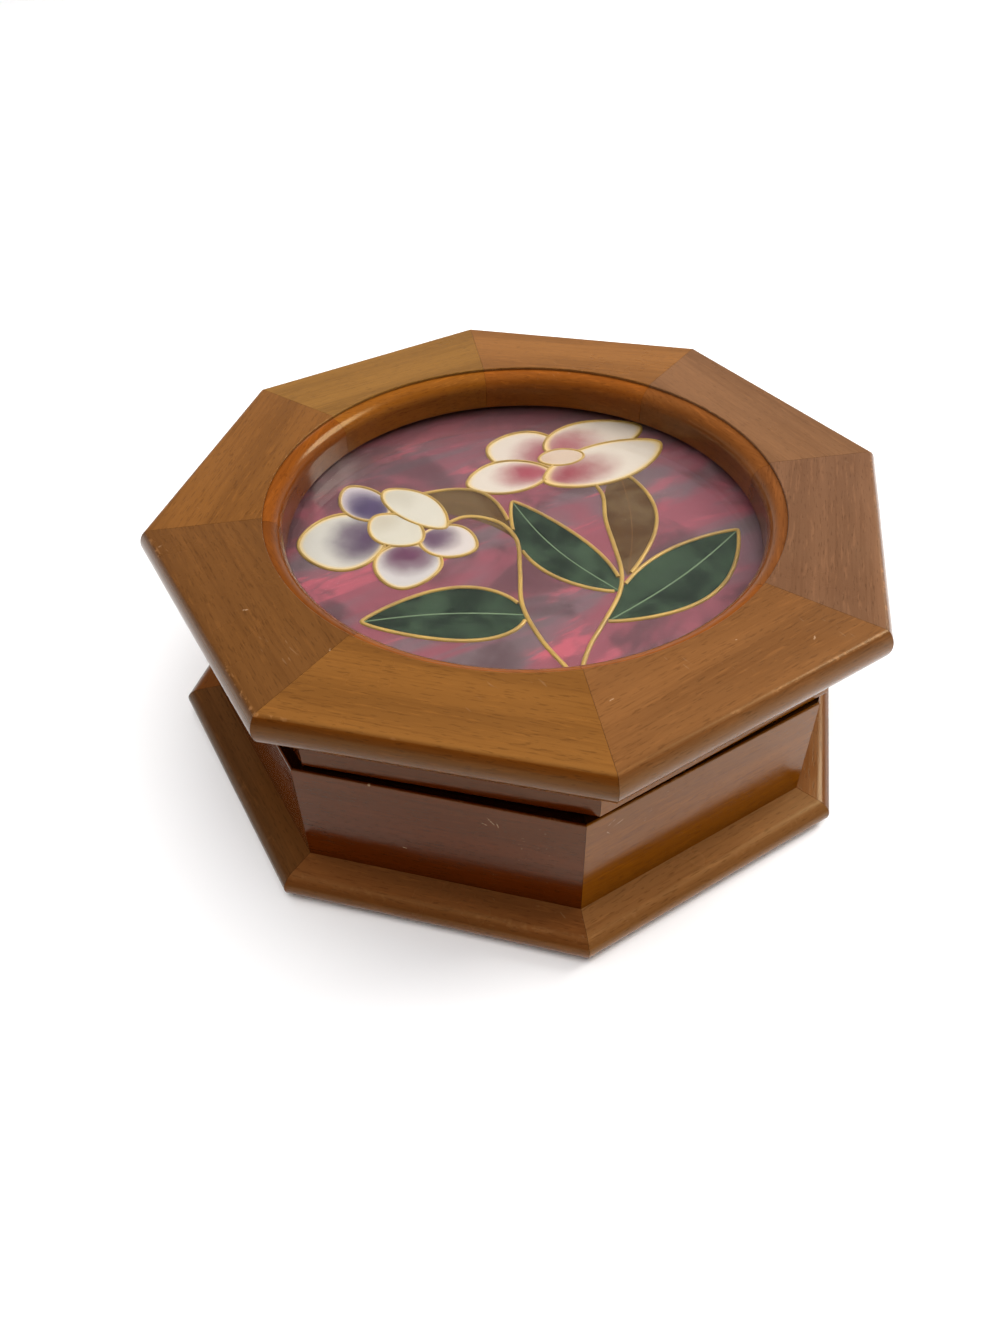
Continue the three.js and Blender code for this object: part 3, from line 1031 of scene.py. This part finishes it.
# The same path in even steps.
def evenSteps(path, closed):
    loop = np.concatenate([path, path[:1]]) if closed else path
    run = np.concatenate([[0], np.cumsum(np.linalg.norm(np.diff(loop, axis=0), axis=1))])
    count = max(4, int(run[-1] / wire["step"]))
    stops = np.linspace(0, run[-1], count, endpoint=not closed)
    return np.stack([np.interp(stops, run, loop[:, k]) for k in range(2)], -1)


# Olive leaves lie lowest, then green leaves, stems and petals. Each later shape covers the lines before it.
def makePicture():
    makePanel()
    drawn = []
    for layer, (kind, rows) in enumerate(leafSets.items()):
        paint = makeLeafPaint(f"leaf{kind.capitalize()}", leafTones[kind])
        for number, row in enumerate(rows):
            leaf = dict(zip(shapeParts, row))
            _, outline = paintedField(f"{kind}Leaf{number + 1}", leaf, layer, paint)
            drawn.append((outline, True, wire["leafShare"], wire[f"{kind}Clear"]))
    for stem in stems:
        drawn.append((evenSteps(smoothCurve(stem), False), False, wire["stemShare"], 0))
    paint = makePetalPaint()
    for kind, rows in petalSets.items():
        for number, row in enumerate(rows):
            petal = dict(zip(shapeParts, row))
            piece, outline = paintedField(f"{kind}Petal{number + 1}", petal, len(leafSets) + number, paint)
            count = len(piece.data.vertices)
            for key in ("deep", "pale"):
                storePoint(piece, key, "FLOAT_COLOR", np.tile([*petal[key], 1], (count, 1)))
            drawn.append((outline, True, wire["petalShare"], 0))
    stalks = np.concatenate([path for path, closed, _, _ in drawn if not closed])
    lines = []
    for place, (path, closed, share, clear) in enumerate(drawn):
        covers = [later for later, whole, _, _ in drawn[place + 1:] if whole]
        beside = np.linalg.norm(path[:, None] - stalks[None], axis=-1).min(1) < clear
        for run, whole in visibleRuns(path, closed, covers, beside):
            lines.append(raisedLine(run, wire["width"] * share, wire["height"], whole))
    points, faces = joinShells(lines)
    newPiece("goldLines", points, faces, makeGold(), 60)


makePicture()
makeGlass()

print("stage 4: floor, light and camera")

room = {
    "floorSize": 6.0,
    "floor": srgb(252, 251, 250),
    "floorMottle": srgb(248, 248, 250),
    "mottleScale": (9, 9, 9),
    "floorRoughness": 0.55,
    "horizon": (0.9, 0.91, 0.92),
    "zenith": (0.14, 0.145, 0.15),
    "zenithFrom": 0.5,  # the height over the horizon, as a sine, where the dim part begins
    "dimSide": 0.5,  # share of light left on the side of the room that the photograph was taken from
}
# The overhead lamp isn't mirrored, so that the satin top shows its own colour.
lamps = {
    "keyLight": {"at": (0.8, 0.65, 0.9), "target": (0, 0, 0.03), "size": 0.7, "power": 13.0,
                 "tint": (1.0, 0.985, 0.96), "mirrored": True},
    "overheadLight": {"at": (-0.1, 0.0, 1.7), "target": (0, 0, 0), "size": 2.5, "power": 50.0,
                      "tint": (1.0, 0.99, 0.98), "mirrored": False},
}


def makeFloor():
    material, tree = blankMaterial("paleFloor")
    mottle = stretchedNoise(tree, objectPlace(tree), room["mottleScale"], 3.0)
    finish(tree, {"Base Color": blend(tree, mottle, room["floor"], room["floorMottle"]),
                  "Roughness": room["floorRoughness"]})
    h = room["floorSize"] / 2
    mesh = bpy.data.meshes.new("floor")
    mesh.from_pydata([(-h, -h, 0), (h, -h, 0), (h, h, 0), (-h, h, 0)], [], [(0, 1, 2, 3)])
    mesh.materials.append(material)
    floor = addObject("floor", mesh)


# The sky dims from the horizon upwards, and on the photograph's side of the room.
def makeSky():
    world = bpy.data.worlds.new("softRoom")
    world.use_nodes = True
    sky = world.node_tree
    direction = addNode(sky, "ShaderNodeTexCoord").outputs["Generated"]
    parts = addNode(sky, "ShaderNodeSeparateXYZ", {"Vector": direction}).outputs
    height = smoothMask(sky, parts[2], 0.0, room["zenithFrom"])
    front = smoothMask(sky, parts[1], 0.0, -0.7, 1.0, room["dimSide"])
    colour = blend(sky, 1.0, blend(sky, height, room["horizon"], room["zenith"]), front, "MULTIPLY")
    sky.links.new(colour, sky.nodes["Background"].inputs["Color"])
    bpy.context.scene.world = world
    bpy.context.scene.view_settings.view_transform = "Standard"


def addLamp(name, look):
    light = bpy.data.lights.new(name, "AREA")
    light.shape = "DISK"
    light.size = look["size"]
    light.energy = look["power"]
    light.color = look["tint"]
    lamp = addObject(name, light)
    lamp.location = look["at"]
    aim = Vector(look["target"]) - Vector(look["at"])
    lamp.rotation_euler = aim.to_track_quat("-Z", "Y").to_euler()
    lamp.visible_glossy = look["mirrored"]


makeFloor()
makeSky()
for lampName, lampLook in lamps.items():
    addLamp(lampName, lampLook)

# The photograph's viewpoint: turned to the right of the front wall and about 41 degrees up.
photoView = {
    "azimuth": radians(14.74),
    "elevation": radians(40.71),
    "roll": radians(-1.21),
    "distance": 0.2390,
    "aim": (-0.0030, -0.0072, 0.030),
    "focalPixels": 987.7,
    "centreRow": 600.0,
    "imageRows": 1333.0,
    "filmHeight": 36.0,
}


def addCamera():
    v = photoView
    back = Vector((sin(v["azimuth"]) * cos(v["elevation"]), -cos(v["azimuth"]) * cos(v["elevation"]),
                   sin(v["elevation"])))
    right = Vector((cos(v["azimuth"]), sin(v["azimuth"]), 0))
    up = back.cross(right)
    r = right * cos(v["roll"]) + up * sin(v["roll"])
    u = up * cos(v["roll"]) - right * sin(v["roll"])
    data = bpy.data.cameras.new("photoCamera")
    data.sensor_width = v["filmHeight"]
    data.lens = v["focalPixels"] * v["filmHeight"] / v["imageRows"]
    data.shift_y = (v["centreRow"] - v["imageRows"] / 2) / v["imageRows"]
    data.clip_start = 0.01
    camera = addObject("photoCamera", data)
    axes = Matrix((r, u, back)).transposed()
    camera.matrix_world = Matrix.Translation(Vector(v["aim"]) + back * v["distance"]) @ axes.to_4x4()
    bpy.context.scene.camera = camera


addCamera()
